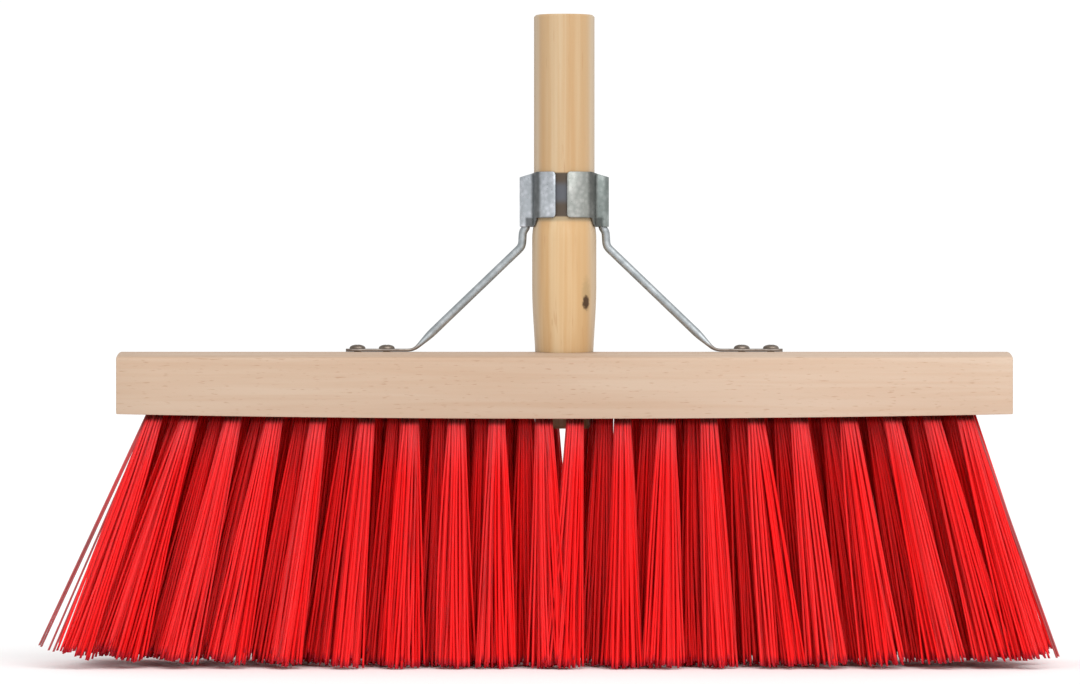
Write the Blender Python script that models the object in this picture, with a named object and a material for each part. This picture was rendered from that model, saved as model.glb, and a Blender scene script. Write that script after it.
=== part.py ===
# Broom head with red bristles, a wooden handle stub and a two-stay steel clamp.
# Metres, +Z up, bristle tips on z = 0. The front of the broom faces -Y.

import math

import bmesh
import bpy
from mathutils import Vector

MM = 0.001
DEG = math.pi / 180

# Driving dimensions
BLOCK_LENGTH = 410 * MM
BLOCK_WIDTH = 60 * MM
BLOCK_HEIGHT = 28.5 * MM        # at the block's ends
BRISTLE_REACH = 116 * MM        # from the floor to the underside of the block's ends
HANDLE_DIAMETER = 28 * MM
HANDLE_TOP = 300 * MM           # height of the handle's cut end above the floor
CLAMP_HEIGHT = 216.4 * MM       # height of the clamp's middle above the floor
STAY_DIAMETER = 4 * MM
FIT_GAP = 0.3 * MM              # clearance left between pieces that touch
CUT_OVERRUN = 2 * MM            # how far a cutter runs past the face it cuts
WELD_DISTANCE = 0.001 * MM      # points nearer than this are one point

# Block
BLOCK_CROWN = 2.4 * MM          # rise of the rounded top over its long edges
BLOCK_BELLY = 2.1 * MM          # how much lower the middle of the rounded underside hangs
BLOCK_ARRIS = 1.2 * MM          # radius worn on the long top edges
CROWN_STEPS = 14
BELLY_STEPS = 16
BORE_SIDES = 40

# Bristles
ROW_COUNT = 5
ROW_PITCH = 11 * MM
TUFT_PITCH = 19.7 * MM
END_MARGIN = 17 * MM            # least wood from the middle of the last tuft to the block's end
TUFT_CELLS = 3                  # a tuft is laid out on this many cells each way
STRAND_WIDTH = 2.8 * MM         # side of a strand where it leaves the wood
STRAND_TIP = 5.4 * MM           # side of a strand at its tip
TUFT_TIP_REACH = 5.7 * MM       # from a tuft's middle strand to its corner ones, at the tips
STRIP_WIDTH = 9.4 * MM
STRIP_THICKNESS = 2.6 * MM
STRIP_MARGIN = 3 * MM           # wood past the last strand of a row
STRAIGHT_HALF = 45 * MM         # tufts nearer the middle than this stand upright
SPLAY_SHARE = 0.21              # how far out the tips lie, as a share of the length past that
DEPTH_FLARE_SHARE = 0.72        # how much wider than the roots the tips spread, front to back
MIDDLE_LEAN = 1.3 * MM          # how far the tufts beside the handle lean together
LEAN_SPAN = 22 * MM
STAND_CUT = 0.5 * MM            # depth of the flat that the broom stands on

# Handle
HANDLE_SWELL_DIAMETER = 29.6 * MM
HANDLE_SEAT_DIAMETER = 26.5 * MM
HANDLE_END_DIAMETER = 24 * MM
HANDLE_POKE = 4.8 * MM          # how far the handle's end stands out under the block
HANDLE_CHAMFER = 0.8 * MM
SWELL_DROP = 9 * MM             # from the clamp's lower edge to the full swell
SWELL_LENGTH = 22 * MM
HANDLE_SIDES = 40

# Clamp
CLAMP_BAND = 22 * MM            # height of the sheet
CLAMP_SHEET = 1.2 * MM
MOUTH_LEFT = 4 * MM             # edges of the front slot, from the handle's axis
MOUTH_RIGHT = 1.2 * MM
BEAD_TOP_DROP = 1.8 * MM        # how much lower than the band the beads' ends stand
BEAD_FOOT_DROP = 3 * MM
BEAD_SKIRT_SHARES = (0.98, 0.265)
FLANGE_GAP = 4 * MM
FLANGE_REACH = 14 * MM
FLANGE_CORNER = 2 * MM
BOLT_DIAMETER = 6 * MM
BOLT_HEAD_FLATS = 10 * MM
BOLT_HEAD_HEIGHT = 4 * MM
BOLT_LENGTH = 18 * MM
BOLT_CHAMFER = 0.8 * MM
NUT_HEIGHT = 5 * MM
BOLT_SIDES = 20

# Stays
STAY_TOP_INSET = 1.5 * MM       # rod end below the clamp's upper edge
STAY_KNEE = 19.6 * MM           # distance of the knee from the handle's axis
STAY_KNEE_DROP = 13 * MM        # knee below the clamp's lower edge
STAY_JOG_DROP = 7 * MM          # where the jog ends below the clamp's lower edge
STAY_HEEL = 69.5 * MM           # where the rod meets the block
STAY_FOOT_END = 101 * MM
STAY_JOG_RADIUS = 3 * MM
STAY_KNEE_RADIUS = 7 * MM
STAY_HEEL_RADIUS = 6 * MM
FOOT_WIDTH = 9 * MM
FOOT_THICKNESS = 1.4 * MM
FLATTEN_LENGTH = 7 * MM
FLAT_SQUARENESS_SHARE = 0.3     # 1 is an ellipse, 0 a rectangle
TOE_RING_SHARES = (0, 0.25, 0.5, 0.75, 0.93)
STAY_SIDES = 12
BEND_STEP = 14 * DEG

# Screws
SCREW_INNER = 82 * MM
SCREW_OUTER = 95.5 * MM
SCREW_HEAD_DIAMETER = 6.8 * MM
SCREW_HEAD_HEIGHT = 2.1 * MM
SCREW_SHANK_DIAMETER = 3.4 * MM
SCREW_LENGTH = 14 * MM
SCREW_POINT = 3 * MM
SCREW_SIDES = 20

# Places that follow from the sizes above
BLOCK_UNDERSIDE = BRISTLE_REACH
BLOCK_LOW = BLOCK_UNDERSIDE - BLOCK_BELLY
BLOCK_TOP = BRISTLE_REACH + BLOCK_HEIGHT
CLAMP_LOW = CLAMP_HEIGHT - CLAMP_BAND / 2
CLAMP_HIGH = CLAMP_HEIGHT + CLAMP_BAND / 2
HANDLE_RADIUS = HANDLE_DIAMETER / 2
HANDLE_FOOT = BLOCK_LOW - HANDLE_POKE
STAY_RADIUS = STAY_DIAMETER / 2
STAY_AXIS = HANDLE_RADIUS + FIT_GAP + STAY_RADIUS
SHEET_RADIUS = HANDLE_RADIUS + FIT_GAP + CLAMP_SHEET / 2
BOLT_DEPTH = SHEET_RADIUS + FLANGE_REACH - BOLT_HEAD_FLATS / 2
FOOT_MIDDLE = BLOCK_TOP + FIT_GAP + FOOT_THICKNESS / 2
FOOT_TOP = FOOT_MIDDLE + FOOT_THICKNESS / 2


def clear_scene():
    for item in list(bpy.data.objects):
        bpy.data.objects.remove(item, do_unlink=True)


def principled(name, color, roughness, metallic=0.0):
    material = bpy.data.materials.new(name)
    material.use_nodes = True
    shader = material.node_tree.nodes["Principled BSDF"]
    shader.inputs["Base Color"].default_value = (*color, 1.0)
    shader.inputs["Roughness"].default_value = roughness
    shader.inputs["Metallic"].default_value = metallic
    material.diffuse_color = (*color, 1.0)
    return material


def add_object(name, mesh, material=None):
    thing = bpy.data.objects.new(name, mesh)
    bpy.context.scene.collection.objects.link(thing)
    if material is not None and not mesh.materials:
        mesh.materials.append(material)
    return thing


def mesh_from(name, bm, sharp_angle=None):
    bmesh.ops.recalc_face_normals(bm, faces=bm.faces)
    mesh = bpy.data.meshes.new(name)
    bm.to_mesh(mesh)
    bm.free()
    if sharp_angle is not None:
        mesh.shade_smooth()
        mesh.set_sharp_from_angle(angle=sharp_angle)
    return mesh


def add_cutter(name, bm):
    cutter = add_object(name, mesh_from(name, bm))
    cutter.hide_render = True
    cutter.display_type = "WIRE"
    return cutter


def cut(thing, cutter):
    boolean = thing.modifiers.new("cut", "BOOLEAN")
    boolean.operation = "DIFFERENCE"
    boolean.solver = "EXACT"
    boolean.object = cutter


def extruded(bm, outline, direction):
    # A closed outline of points, made a face and drawn out along a vector.
    face = bm.faces.new([bm.verts.new(point) for point in outline])
    drawn = bmesh.ops.extrude_face_region(bm, geom=[face], use_keep_orig=True)
    moved = [item for item in drawn["geom"] if isinstance(item, bmesh.types.BMVert)]
    bmesh.ops.translate(bm, verts=moved, vec=direction)


def turned(bm, profile, sides):
    # A profile of (radius, height) points that starts and ends on the Z axis.
    verts = [bm.verts.new((radius, 0, height)) for radius, height in profile]
    edges = [bm.edges.new(pair) for pair in zip(verts, verts[1:])]
    bmesh.ops.spin(
        bm,
        geom=verts + edges,
        axis=(0, 0, 1),
        cent=(0, 0, 0),
        angle=2 * math.pi,
        steps=sides,
        use_merge=True,
    )
    bmesh.ops.remove_doubles(bm, verts=bm.verts, dist=WELD_DISTANCE)


def box(bm, low, high):
    made = bmesh.ops.create_cube(bm, size=1)
    size = Vector(high) - Vector(low)
    bmesh.ops.scale(bm, verts=made["verts"], vec=size)
    bmesh.ops.translate(bm, verts=made["verts"], vec=(Vector(low) + Vector(high)) / 2)


def arc(centre, radius, start, end, steps):
    angles = [start + (end - start) * step / steps for step in range(steps + 1)]
    return [
        (centre[0] + radius * math.cos(angle), centre[1] + radius * math.sin(angle))
        for angle in angles
    ]


def rounded_path(corners):
    # Corners are (x, y, radius); each inner corner becomes an arc of that radius.
    path = [Vector(corners[0][:2])]
    for before, here, after in zip(corners, corners[1:], corners[2:]):
        corner = Vector(here[:2])
        back = (Vector(before[:2]) - corner).normalized()
        ahead = (Vector(after[:2]) - corner).normalized()
        turn = math.pi - back.angle(ahead)
        tangent = here[2] * math.tan(turn / 2)
        centre = corner + (back + ahead).normalized() * here[2] / math.cos(turn / 2)
        start = corner + back * tangent - centre
        side = 1 if back.cross(ahead) < 0 else -1
        steps = max(2, round(turn / BEND_STEP))
        for step in range(steps + 1):
            angle = side * turn * step / steps
            path.append(centre + Vector((
                start.x * math.cos(angle) - start.y * math.sin(angle),
                start.x * math.sin(angle) + start.y * math.cos(angle),
            )))
    path.append(Vector(corners[-1][:2]))
    return path


def path_normals(path):
    # The sideways direction at each point, lengthened at corners like a mitre.
    normals = []
    for index, point in enumerate(path):
        before = path[max(index - 1, 0)]
        after = path[min(index + 1, len(path) - 1)]
        arriving = (point - before).normalized() if index > 0 else (after - point).normalized()
        leaving = (after - point).normalized() if point != after else arriving
        middle = (arriving + leaving).normalized()
        normals.append(Vector((-middle.y, middle.x)) / middle.dot(arriving))
    return normals


def row_tufts(row):
    # Long and short rows alternate, so that each tuft stands between two others.
    long_row = int((BLOCK_LENGTH - 2 * END_MARGIN) / TUFT_PITCH) + 1
    count = long_row - row % 2
    return [(index - (count - 1) / 2) * TUFT_PITCH for index in range(count)]


def row_depth(row):
    return (row - (ROW_COUNT - 1) / 2) * ROW_PITCH


def clears_socket(along, depth):
    # No tuft is set where the handle comes through.
    return math.hypot(along, depth) > seated_radius(BLOCK_UNDERSIDE) + FIT_GAP


def seated_radius(height):
    # The handle tapers evenly from the block's top down to its end.
    share = (height - HANDLE_FOOT) / (BLOCK_TOP - HANDLE_FOOT)
    return (HANDLE_END_DIAMETER + (HANDLE_SEAT_DIAMETER - HANDLE_END_DIAMETER) * share) / 2


def build_block(wood):
    half_width = BLOCK_WIDTH / 2
    shoulder = BLOCK_TOP - BLOCK_CROWN
    crown_half = half_width - BLOCK_ARRIS
    crown_radius = (crown_half ** 2 + BLOCK_CROWN ** 2) / (2 * BLOCK_CROWN)
    crown_angle = math.asin(crown_half / crown_radius)
    crown = arc(
        (0, BLOCK_TOP - crown_radius),
        crown_radius,
        math.pi / 2 - crown_angle,
        math.pi / 2 + crown_angle,
        CROWN_STEPS,
    )
    rough_low = BLOCK_LOW - CUT_OVERRUN / 2
    sides = [
        (-half_width, shoulder - BLOCK_ARRIS),
        (-half_width, rough_low),
        (half_width, rough_low),
        (half_width, shoulder - BLOCK_ARRIS),
    ]
    bm = bmesh.new()
    outline = [(-BLOCK_LENGTH / 2, y, z) for y, z in crown + sides]
    extruded(bm, outline, (BLOCK_LENGTH, 0, 0))
    block = add_object("block", mesh_from("block", bm), wood)
    cut(block, belly_cutter())
    cut(block, groove_cutter())
    cut(block, bpy.data.objects["socket_cutter"])
    cut(block, pilot_cutter())


def belly_cutter():
    # Everything below the underside, which is a shallow arc from end to end.
    half = BLOCK_LENGTH / 2
    radius = (half ** 2 + BLOCK_BELLY ** 2) / (2 * BLOCK_BELLY)
    swing = math.asin(half / radius)
    belly = arc(
        (0, BLOCK_LOW + radius),
        radius,
        -math.pi / 2 - swing,
        -math.pi / 2 + swing,
        BELLY_STEPS,
    )
    past_end = half + CUT_OVERRUN
    low = BLOCK_LOW - CUT_OVERRUN
    outline = [(-past_end, low), (-past_end, BLOCK_UNDERSIDE)] + belly
    outline += [(past_end, BLOCK_UNDERSIDE), (past_end, low)]
    past_side = BLOCK_WIDTH / 2 + CUT_OVERRUN
    bm = bmesh.new()
    extruded(bm, [(x, -past_side, z) for x, z in outline], (0, 2 * past_side, 0))
    return add_cutter("belly_cutter", bm)


def groove_cutter():
    bm = bmesh.new()
    for row in range(ROW_COUNT):
        reach = strip_half_length(row) + FIT_GAP
        half = STRIP_WIDTH / 2 + FIT_GAP
        middle = row_depth(row)
        box(
            bm,
            (-reach, middle - half, BLOCK_LOW - CUT_OVERRUN),
            (reach, middle + half, BLOCK_UNDERSIDE + STRIP_THICKNESS + FIT_GAP),
        )
    return add_cutter("groove_cutter", bm)


def build_socket_cutter():
    # The tapered hole that runs right through the block and the middle rows' backing.
    bm = bmesh.new()
    low = BLOCK_LOW - CUT_OVERRUN
    high = BLOCK_TOP + CUT_OVERRUN
    turned(
        bm,
        [
            (0, low),
            (seated_radius(low) + FIT_GAP, low),
            (seated_radius(high) + FIT_GAP, high),
            (0, high),
        ],
        BORE_SIDES,
    )
    add_cutter("socket_cutter", bm)


def pilot_cutter():
    bm = bmesh.new()
    radius = SCREW_SHANK_DIAMETER / 2 + FIT_GAP
    depth = SCREW_LENGTH + FIT_GAP
    for place in screw_places():
        made = bmesh.ops.create_cone(
            bm,
            cap_ends=True,
            segments=SCREW_SIDES,
            radius1=radius,
            radius2=radius,
            depth=depth + CUT_OVERRUN,
        )
        middle = FOOT_TOP - depth + (depth + CUT_OVERRUN) / 2
        bmesh.ops.translate(bm, verts=made["verts"], vec=(place, 0, middle))
    return add_cutter("pilot_cutter", bm)


def screw_places():
    return [-SCREW_OUTER, -SCREW_INNER, SCREW_INNER, SCREW_OUTER]


def strip_half_length(row):
    return row_tufts(row)[-1] + TUFT_CELLS * STRAND_WIDTH / 2 + STRIP_MARGIN


def row_parts(row):
    # Each part's name, tufts and ends. The handle comes right through the middle row.
    name = "bristle_row_{}".format(row + 1)
    depth = row_depth(row)
    reach = strip_half_length(row)
    tufts = [tuft for tuft in row_tufts(row) if clears_socket(tuft, depth)]
    if abs(depth) + STRIP_WIDTH / 2 > seated_radius(BLOCK_UNDERSIDE):
        return [(name, tufts, -reach, reach)]
    return [
        (name, [tuft for tuft in tufts if tuft < 0], -reach, 0),
        (name + "_right", [tuft for tuft in tufts if tuft > 0], 0, reach),
    ]


def build_bristle_part(name, depth, tufts, start, end, bristle):
    # A sheet of cells is drawn up into the backing strip. Each tuft covers nine
    # cells, and its middle and corner cells are drawn down to the floor and spread.
    bm = bmesh.new()
    lines = [(line - TUFT_CELLS / 2) * STRAND_WIDTH for line in range(TUFT_CELLS + 1)]
    columns = [start] + [tuft + line for tuft in tufts for line in lines] + [end]
    lanes = [-STRIP_WIDTH / 2] + lines + [STRIP_WIDTH / 2]
    bmesh.ops.create_grid(bm, x_segments=len(columns) - 1, y_segments=len(lanes) - 1, size=1)
    for vert in bm.verts:
        column = round((vert.co.x + 1) / 2 * (len(columns) - 1))
        lane = round((vert.co.y + 1) / 2 * (len(lanes) - 1))
        vert.co = (columns[column], depth + lanes[lane], BLOCK_UNDERSIDE)

    strands = []
    for face in bm.faces:
        middle = face.calc_center_median()
        tuft = min(tufts, key=lambda place: abs(middle.x - place))
        along = (middle.x - tuft) / STRAND_WIDTH
        across = (middle.y - depth) / STRAND_WIDTH
        if is_strand_cell(along, across):
            strands.append((face, tuft))

    raised = bmesh.ops.extrude_face_region(bm, geom=list(bm.faces), use_keep_orig=True)
    top = [item for item in raised["geom"] if isinstance(item, bmesh.types.BMVert)]
    bmesh.ops.translate(bm, verts=top, vec=(0, 0, STRIP_THICKNESS))
    for face, tuft in strands:
        draw_strand(bm, face, tuft, depth)

    backing = [
        face for face in bm.faces
        if face.calc_center_median().z > BLOCK_UNDERSIDE + STRIP_THICKNESS / 4
    ]
    edges = list({edge for face in backing for edge in face.edges})
    verts = list({vert for face in backing for vert in face.verts})
    bmesh.ops.dissolve_limit(bm, angle_limit=DEG, verts=verts, edges=edges)
    bristles = add_object(name, mesh_from(name, bm), bristle)
    if abs(depth) - STRIP_WIDTH / 2 < seated_radius(BLOCK_UNDERSIDE) + FIT_GAP:
        cut(bristles, bpy.data.objects["socket_cutter"])


def is_strand_cell(along, across):
    # The middle cell of nine, or one of the four corner cells.
    near = TUFT_CELLS / 2
    inside = abs(along) < near and abs(across) < near
    return inside and round(abs(along)) == round(abs(across))


def draw_strand(bm, face, tuft, depth):
    middle = face.calc_center_median()
    fan = TUFT_TIP_REACH / STRAND_WIDTH
    tip = Vector((
        tuft + tuft_drift(tuft) + (middle.x - tuft) * fan,
        depth * (1 + DEPTH_FLARE_SHARE) + (middle.y - depth) * fan,
        tip_height(tuft),
    ))
    drawn = bmesh.ops.extrude_discrete_faces(bm, faces=[face])
    for vert in drawn["faces"][0].verts:
        vert.co = tip + (vert.co - middle) * (STRAND_TIP / STRAND_WIDTH)


def tuft_drift(tuft):
    # How far along the block a tuft's tips lie from its roots.
    outward = max(abs(tuft) - STRAIGHT_HALF, 0) * SPLAY_SHARE
    inward = MIDDLE_LEAN * math.exp(-((tuft / LEAN_SPAN) ** 2))
    return math.copysign(outward - inward, tuft)


def tip_height(tuft):
    # Strands of one length, fanned, end in an arc whose low middle is cut flat.
    lean = math.atan(tuft_drift(tuft) / BRISTLE_REACH)
    return max(0, BRISTLE_REACH * (1 - math.cos(lean)) - STAND_CUT)


def build_handle(wood):
    radius = HANDLE_RADIUS
    swell = HANDLE_SWELL_DIAMETER / 2
    seat = HANDLE_SEAT_DIAMETER / 2
    end = HANDLE_END_DIAMETER / 2
    swell_high = CLAMP_LOW - SWELL_DROP
    swell_low = swell_high - SWELL_LENGTH
    profile = [
        (0, HANDLE_FOOT),
        (end - HANDLE_CHAMFER, HANDLE_FOOT),
        (seated_radius(HANDLE_FOOT + HANDLE_CHAMFER), HANDLE_FOOT + HANDLE_CHAMFER),
        (seat, BLOCK_TOP),
        ((seat + swell) / 2, (BLOCK_TOP + swell_low) / 2),
        (swell, swell_low),
        (swell, swell_high),
        (radius, CLAMP_LOW),
        (radius, HANDLE_TOP - HANDLE_CHAMFER),
        (radius - HANDLE_CHAMFER, HANDLE_TOP),
        (0, HANDLE_TOP),
    ]
    bm = bmesh.new()
    turned(bm, profile, HANDLE_SIDES)
    add_object("handle", mesh_from("handle", bm, 35 * DEG), wood)


def clamp_path(mouth):
    # Plan of one half, left side: front edge, round to the bead, round to the flange.
    front = math.pi + math.acos(mouth / SHEET_RADIUS)
    skirt = math.asin(BEAD_SKIRT_SHARES[1])
    bead_radius = STAY_RADIUS + FIT_GAP + CLAMP_SHEET / 2
    bead_turn = math.asin(BEAD_SKIRT_SHARES[0])
    bead = (-STAY_AXIS, 0)
    flange = FLANGE_GAP / 2 + CLAMP_SHEET / 2
    rear = math.pi - math.acos(flange / SHEET_RADIUS)
    path = arc((0, 0), SHEET_RADIUS, front, math.pi + skirt, 7)
    path += arc(bead, bead_radius, math.pi + bead_turn, math.pi - bead_turn, 8)
    path += arc((0, 0), SHEET_RADIUS, math.pi - skirt, rear, 7)[:-1]
    corner = SHEET_RADIUS * math.sin(rear)
    start = Vector(path[-1])
    bend = rounded_path([
        (start.x, start.y, 0),
        (-flange, corner, FLANGE_CORNER),
        (-flange, SHEET_RADIUS + FLANGE_REACH, 0),
    ])
    return [Vector(point) for point in path[:-1]] + bend


def build_clamp_half(name, side, mouth, steel):
    path = clamp_path(mouth)
    normals = path_normals(path)
    half = CLAMP_SHEET / 2
    outline = [point + normal * half for point, normal in zip(path, normals)]
    outline += [point - normal * half for point, normal in zip(reversed(path), reversed(normals))]
    bm = bmesh.new()
    extruded(
        bm,
        [(-side * point.x, point.y, CLAMP_LOW) for point in outline],
        (0, 0, CLAMP_BAND),
    )
    for vert in bm.verts:
        if abs(vert.co.x) > STAY_AXIS - STAY_RADIUS / 2:
            vert.co.z -= BEAD_TOP_DROP if vert.co.z > CLAMP_HEIGHT else BEAD_FOOT_DROP
    shell = add_object(name, mesh_from(name, bm, 40 * DEG), steel)
    cut(shell, bolt_cutter(name + "_bolt_cutter"))


def bolt_cutter(name):
    bm = bmesh.new()
    radius = BOLT_DIAMETER / 2 + FIT_GAP
    made = bmesh.ops.create_cone(
        bm,
        cap_ends=True,
        segments=BOLT_SIDES,
        radius1=radius,
        radius2=radius,
        depth=FLANGE_GAP + 2 * CLAMP_SHEET + 2 * CUT_OVERRUN,
    )
    lay_along_x(bm, made["verts"])
    bmesh.ops.translate(bm, verts=made["verts"], vec=(0, BOLT_DEPTH, CLAMP_HEIGHT))
    return add_cutter(name, bm)


def lay_along_x(bm, verts):
    for vert in verts:
        vert.co = (vert.co.z, vert.co.y, -vert.co.x)


def hexagon(bm, start, end, flats):
    # A hexagonal prism along X with two of its flats level.
    radius = flats / 2 / math.cos(30 * DEG)
    corners = [
        (start, radius * math.cos(index * 60 * DEG), radius * math.sin(index * 60 * DEG))
        for index in range(6)
    ]
    extruded(bm, corners, (end - start, 0, 0))


def build_clamp_bolt(steel):
    # Head on the left, plain shank to the right, as one turned and joined solid.
    under_head = -(FLANGE_GAP / 2 + CLAMP_SHEET + FIT_GAP)
    bm = bmesh.new()
    hexagon(bm, under_head - BOLT_HEAD_HEIGHT, under_head, BOLT_HEAD_FLATS)
    bolt = add_object("clamp_bolt", mesh_from("clamp_bolt", bm), steel)
    bolt.location = (0, BOLT_DEPTH, CLAMP_HEIGHT)

    bm = bmesh.new()
    radius = BOLT_DIAMETER / 2
    start = under_head - BOLT_HEAD_HEIGHT / 2
    end = under_head + BOLT_LENGTH
    turned(
        bm,
        [
            (0, start),
            (radius, start),
            (radius, end - BOLT_CHAMFER),
            (radius - BOLT_CHAMFER, end),
            (0, end),
        ],
        BOLT_SIDES,
    )
    lay_along_x(bm, bm.verts)
    shank = add_cutter("clamp_bolt_shank", bm)
    shank.location = bolt.location
    joined = bolt.modifiers.new("shank", "BOOLEAN")
    joined.operation = "UNION"
    joined.solver = "EXACT"
    joined.object = shank


def build_clamp_nut(steel):
    bm = bmesh.new()
    start = FLANGE_GAP / 2 + CLAMP_SHEET + FIT_GAP
    hexagon(bm, start, start + NUT_HEIGHT, BOLT_HEAD_FLATS)
    nut = add_object("clamp_nut", mesh_from("clamp_nut", bm), steel)
    nut.location = (0, BOLT_DEPTH, CLAMP_HEIGHT)

    bm = bmesh.new()
    radius = BOLT_DIAMETER / 2 + FIT_GAP
    made = bmesh.ops.create_cone(
        bm,
        cap_ends=True,
        segments=BOLT_SIDES,
        radius1=radius,
        radius2=radius,
        depth=NUT_HEIGHT + 2 * CUT_OVERRUN,
    )
    lay_along_x(bm, made["verts"])
    bmesh.ops.translate(bm, verts=made["verts"], vec=(start + NUT_HEIGHT / 2, 0, 0))
    bore = add_cutter("clamp_nut_bore", bm)
    bore.location = nut.location
    cut(nut, bore)


def stay_route():
    # The rod's line in the plane of the block, from its top end down to its toe.
    route = rounded_path([
        (STAY_AXIS, CLAMP_HIGH - STAY_TOP_INSET - BEAD_TOP_DROP, 0),
        (STAY_AXIS, CLAMP_LOW - BEAD_FOOT_DROP - STAY_JOG_RADIUS / 5, STAY_JOG_RADIUS),
        (STAY_KNEE - STAY_RADIUS / 5, CLAMP_LOW - STAY_JOG_DROP, STAY_JOG_RADIUS),
        (STAY_KNEE, CLAMP_LOW - STAY_KNEE_DROP, STAY_KNEE_RADIUS),
        (STAY_HEEL, FOOT_MIDDLE, STAY_HEEL_RADIUS),
        (STAY_FOOT_END, FOOT_MIDDLE, 0),
    ])
    heel = next(index for index, point in enumerate(route) if point.x > STAY_HEEL - FLATTEN_LENGTH)
    above = (route[heel - 1] - route[heel]).normalized() * FLATTEN_LENGTH
    route.insert(heel, route[heel] + above)
    toe_radius = FOOT_WIDTH / 2
    toe_start = STAY_FOOT_END - toe_radius
    turns = [share * 90 * DEG for share in TOE_RING_SHARES]
    return route[:-1] + [
        Vector((toe_start + toe_radius * math.sin(turn), FOOT_MIDDLE)) for turn in turns
    ]


def build_stay(name, side, steel):
    route = stay_route()
    normals = path_normals(route)
    toe_radius = FOOT_WIDTH / 2
    toe_start = STAY_FOOT_END - toe_radius
    round_end = STAY_HEEL - FLATTEN_LENGTH
    bm = bmesh.new()
    rings = []
    for point, normal in zip(route, normals):
        flat = min(max((point.x - round_end) / FLATTEN_LENGTH, 0), 1)
        width = STAY_RADIUS + (toe_radius - STAY_RADIUS) * flat
        if point.x > toe_start:
            width = math.sqrt(toe_radius ** 2 - (point.x - toe_start) ** 2)
        thick = STAY_RADIUS + (FOOT_THICKNESS / 2 - STAY_RADIUS) * flat
        squareness = 1 + (FLAT_SQUARENESS_SHARE - 1) * flat
        rings.append(stay_ring(bm, side, point, normal, width, thick, squareness))
    for one, two in zip(rings, rings[1:]):
        bmesh.ops.bridge_loops(bm, edges=one + two)
    bmesh.ops.holes_fill(bm, edges=rings[0] + rings[-1], sides=STAY_SIDES)
    stay = add_object(name, mesh_from(name, bm, 50 * DEG), steel)
    cut(stay, bpy.data.objects["pilot_cutter"])


def stay_ring(bm, side, point, normal, width, thick, squareness):
    verts = []
    for index in range(STAY_SIDES):
        angle = (index + 0.5) * 2 * math.pi / STAY_SIDES
        across = math.copysign(abs(math.cos(angle)) ** squareness, math.cos(angle)) * width
        up = math.copysign(abs(math.sin(angle)) ** squareness, math.sin(angle)) * thick
        place = point + normal * up
        verts.append(bm.verts.new((side * place.x, across, place.y)))
    return [bm.edges.new((verts[index - 1], verts[index])) for index in range(STAY_SIDES)]


def build_foot_screws(steel):
    head = SCREW_HEAD_DIAMETER / 2
    shank = SCREW_SHANK_DIAMETER / 2
    dome = [
        (head * math.cos(step * 90 * DEG / 4), SCREW_HEAD_HEIGHT * math.sin(step * 90 * DEG / 4))
        for step in range(4)
    ]
    profile = [(0, SCREW_HEAD_HEIGHT)] + list(reversed(dome))
    profile += [(shank, 0), (shank, SCREW_POINT - SCREW_LENGTH), (0, -SCREW_LENGTH)]
    bm = bmesh.new()
    turned(bm, profile, SCREW_SIDES)
    mesh = mesh_from("foot_screw", bm, 40 * DEG)
    names = ["left_outer", "left_inner", "right_inner", "right_outer"]
    for name, place in zip(names, screw_places()):
        screw = add_object("foot_screw_" + name, mesh, steel)
        screw.location = (place, 0, FOOT_TOP + FIT_GAP)


def main():
    clear_scene()
    beech = principled("beech", (0.80, 0.58, 0.38), 0.55)
    pine = principled("pine", (0.76, 0.53, 0.28), 0.5)
    zinc = principled("zinc", (0.55, 0.58, 0.60), 0.38, 0.9)
    red = principled("red_bristle", (0.78, 0.01, 0.02), 0.4)
    build_socket_cutter()
    build_block(beech)
    build_handle(pine)
    build_clamp_half("clamp_half_left", -1, MOUTH_LEFT, zinc)
    build_clamp_half("clamp_half_right", 1, MOUTH_RIGHT, zinc)
    build_clamp_bolt(zinc)
    build_clamp_nut(zinc)
    build_stay("stay_left", -1, zinc)
    build_stay("stay_right", 1, zinc)
    build_foot_screws(zinc)
    for row in range(ROW_COUNT):
        for name, tufts, start, end in row_parts(row):
            build_bristle_part(name, row_depth(row), tufts, start, end, red)


main()
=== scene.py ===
import math
import random

import bmesh
import bpy
from mathutils import Matrix, Vector


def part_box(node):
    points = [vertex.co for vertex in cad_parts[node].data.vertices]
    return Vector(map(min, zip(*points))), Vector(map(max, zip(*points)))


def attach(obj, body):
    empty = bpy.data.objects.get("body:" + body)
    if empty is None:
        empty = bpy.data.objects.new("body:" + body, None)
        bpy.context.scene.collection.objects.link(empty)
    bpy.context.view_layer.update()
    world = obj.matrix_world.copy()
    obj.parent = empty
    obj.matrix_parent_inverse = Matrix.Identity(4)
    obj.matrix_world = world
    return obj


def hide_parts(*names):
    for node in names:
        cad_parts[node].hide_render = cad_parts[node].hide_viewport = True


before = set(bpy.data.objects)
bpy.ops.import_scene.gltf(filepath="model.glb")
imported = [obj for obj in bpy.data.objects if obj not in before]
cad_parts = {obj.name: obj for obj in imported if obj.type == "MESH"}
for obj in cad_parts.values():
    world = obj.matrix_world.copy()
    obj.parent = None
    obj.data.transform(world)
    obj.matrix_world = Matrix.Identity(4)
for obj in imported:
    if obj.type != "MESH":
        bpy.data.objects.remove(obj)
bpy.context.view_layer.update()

# A street broom: beech head, red bristles, pine handle stub, zinc clamp and two stays.
# Metres, +Z up, the front faces -Y.

mm = 0.001
degree = math.pi / 180
weldDistance = 0.001 * mm           # points nearer than this are one point

headLow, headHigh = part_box("block")
handleLow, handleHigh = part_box("handle")
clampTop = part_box("clamp_half_left")[1].z
headTop = headHigh.z
facing = 0.9  # a face lies across an axis if its normal has more along it


# Mesh helpers

def addObject(name, data):
    made = bpy.data.objects.new(name, data)
    bpy.context.scene.collection.objects.link(made)
    return made


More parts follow.
